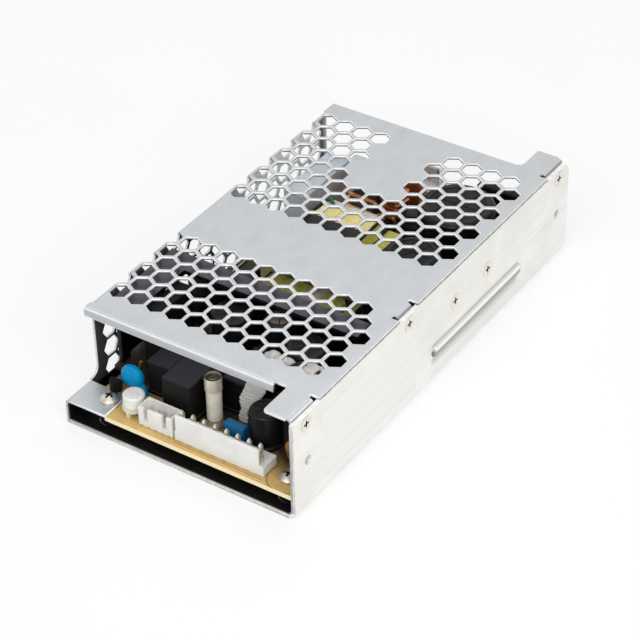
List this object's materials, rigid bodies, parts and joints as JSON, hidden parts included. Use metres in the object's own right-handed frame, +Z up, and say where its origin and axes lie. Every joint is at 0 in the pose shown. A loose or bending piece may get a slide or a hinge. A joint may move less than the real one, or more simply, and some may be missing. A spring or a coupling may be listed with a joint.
{
  "type": "power supply",
  "caption": "Enclosed switch-mode power supply: folded aluminium chassis, populated circuit board with pin headers at both ends, and a folded steel cover with hexagonal vent openings.",
  "frame": {"origin": "centre of the four base holes, on the underside of the chassis", "axes": "+Y runs along the case from the output end (front, -Y) to the input end (rear), +Z up from the base, +X towards the chassis wall"},
  "size_m": [0.0842, 0.159, 0.0355],
  "materials": {
    "aluminium_sheet": "satin",
    "zinc_sheet": "satin",
    "black_film": "satin",
    "board_laminate": "satin",
    "zinc_fastener": "bright",
    "yellow_fastener": "satin",
    "black_moulding": "satin",
    "grey_rubber": "matte",
    "white_nylon": "satin",
    "tinned_contact": "bright",
    "ivory_plastic": "satin",
    "blue_coating": "gloss",
    "tan_coating": "gloss",
    "cream_sleeve": "satin",
    "blue_moulding": "satin",
    "black_sleeve": "satin",
    "dark_anodised": "matte",
    "ferrite": "matte",
    "yellow_tape": "satin",
    "olive_tape": "satin",
    "copper_wire": "bright",
    "pale_moulding": "satin",
    "red_coating": "satin",
    "white_silicone": "satin",
    "brown_coating": "satin"
  },
  "bodies": {
    "supply": {"chassis": "aluminium_sheet", "cover": "zinc_sheet", "insulation_film": "black_film", "circuit_board": "board_laminate", "standoffs": "black_moulding", "board_screws": "zinc_fastener", "cover_screws": "yellow_fastener", "transistor_screws": "yellow_fastener", "transistor_nuts": "zinc_fastener", "switch_transistor": "black_moulding", "output_rectifier": "black_moulding", "switch_pad": "grey_rubber", "rectifier_pad": "grey_rubber", "output_header": "white_nylon", "output_pins": "tinned_contact", "signal_header": "white_nylon", "signal_pins": "tinned_contact", "input_header": "white_nylon", "input_pins": "tinned_contact", "trimmer_base": "ivory_plastic", "disc_capacitor": "blue_coating", "ceramic_capacitor": "tan_coating", "relay_a": "black_moulding", "relay_b": "black_moulding", "relay_c": "black_moulding", "output_fuse": "tinned_contact", "fuse_sleeve": "cream_sleeve", "box_capacitor": "blue_moulding", "film_capacitor": "black_moulding", "adhesive": "white_silicone", "output_capacitor_a": "black_sleeve", "output_capacitor_b": "black_sleeve", "output_capacitor_c": "black_sleeve", "output_capacitor_d": "black_sleeve", "output_capacitor_e": "black_sleeve", "bulk_capacitor": "black_sleeve", "filter_capacitor": "black_sleeve", "heat_sink": "dark_anodised", "transformer_core": "ferrite", "transformer_bobbin": "black_moulding", "transformer_winding": "yellow_tape", "output_choke_core": "ferrite", "output_choke_winding": "olive_tape", "line_choke_base": "black_moulding", "line_choke_core": "ferrite", "line_choke_winding": "copper_wire", "x_capacitor": "pale_moulding", "varistor": "red_coating", "thermistor": "brown_coating", "line_fuse": "black_moulding", "bridge_rectifier": "black_moulding", "controller_ic": "black_moulding", "optocoupler": "black_moulding", "signal_transistor": "black_moulding"},
    "trimmer": {"trimmer_cap": "white_nylon"}
  },
  "joints": [
    {"name": "trimmer_turn", "type": "hinge", "parent": "supply", "child": "trimmer", "pos_m": [-0.0208, -0.0723, 0.0113], "axis": [0, 0, 1], "range_deg": [-130, 130]}
  ]
}
